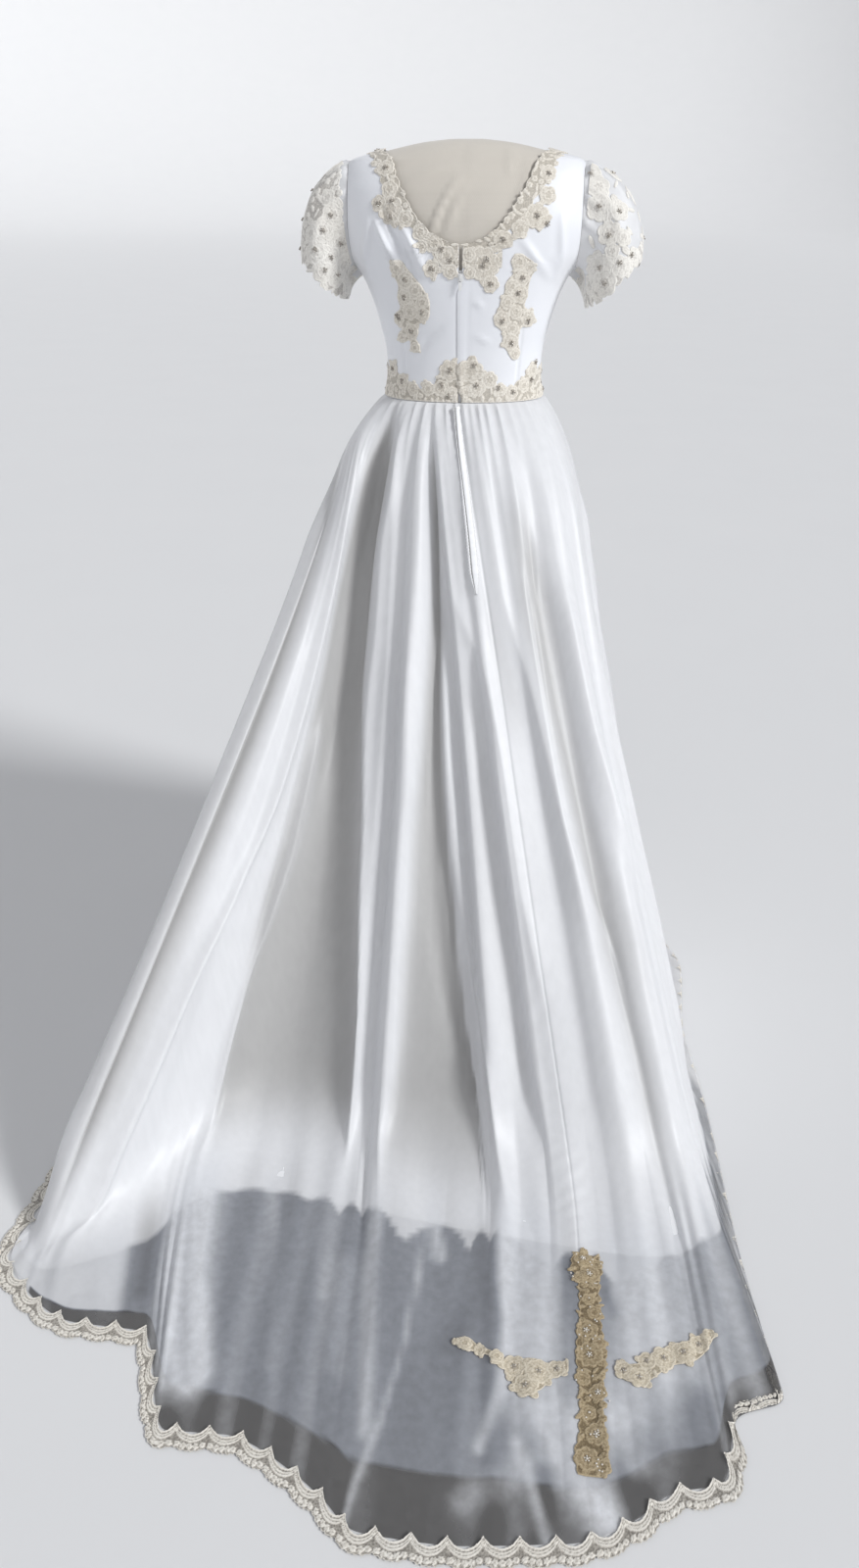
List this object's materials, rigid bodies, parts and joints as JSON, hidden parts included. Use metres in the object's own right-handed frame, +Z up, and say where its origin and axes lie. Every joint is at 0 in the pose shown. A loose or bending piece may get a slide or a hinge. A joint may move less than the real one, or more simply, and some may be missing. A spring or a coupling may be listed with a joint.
{
  "type": "wedding dress on limbless dress form",
  "caption": "Short-sleeved white wedding dress with a low back, back zip, full gathered skirt and long lace-edged train, standing on a limbless dress form.",
  "frame": {"origin": "centre of the underside of the form's base disc, on the floor", "axes": "+Z up, the dress faces -Y, the train runs along +Y, +X is the dress's own left side"},
  "size_m": [1.0906, 1.7242, 1.4154],
  "materials": {
    "satin": "smooth white polyester satin with a soft sheen",
    "organza": "sheer crisp white organza over the lining, grey where nothing white lies under it",
    "sleeve_organza": "sheer crisp organza",
    "ivory_lace": "corded and beaded floral lace, aged to ivory",
    "tan_lace": "beaded lace aged to a warm tan",
    "form_cover": "plain woven beige linen cover with soft creases",
    "stand_metal": "satin dark grey paint",
    "zip_tape": "white nylon coil and tape",
    "zip_metal": "white enamelled metal"
  },
  "bodies": {
    "dress": {"form_torso": "form_cover", "form_pole": "stand_metal", "form_base": "stand_metal", "bodice_front": "satin", "bodice_back_left": "satin", "bodice_back_right": "satin", "bodice_spray_left": "ivory_lace", "bodice_spray_right": "ivory_lace", "neckline_lace_front": "ivory_lace", "neckline_lace_back_left": "ivory_lace", "neckline_lace_back_right": "ivory_lace", "waist_lace_front": "ivory_lace", "waist_lace_back_left": "ivory_lace", "waist_lace_back_right": "ivory_lace", "sleeve_left": "sleeve_organza", "sleeve_right": "sleeve_organza", "sleeve_lace_left": "ivory_lace", "sleeve_lace_right": "ivory_lace", "skirt_front": "organza", "skirt_back_left": "organza", "skirt_back_right": "organza", "skirt_placket": "satin", "lining_front": "satin", "lining_back": "satin", "train_underlay": "organza", "hem_lace_front": "ivory_lace", "hem_lace_left": "ivory_lace", "hem_lace_right": "ivory_lace", "train_cross_upright": "tan_lace", "train_cross_arm_left": "ivory_lace", "train_cross_arm_right": "ivory_lace", "zip_chain": "zip_tape", "zip_slider": "zip_metal"},
    "zip_pull": {"zip_pull": "zip_metal"}
  },
  "joints": [
    {"name": "zip_pull_hinge", "type": "hinge", "parent": "dress", "child": "zip_pull", "pos_m": [0, 0.10999, 1.226], "axis": [1, 0, 0], "range_deg": [0, 160]}
  ]
}
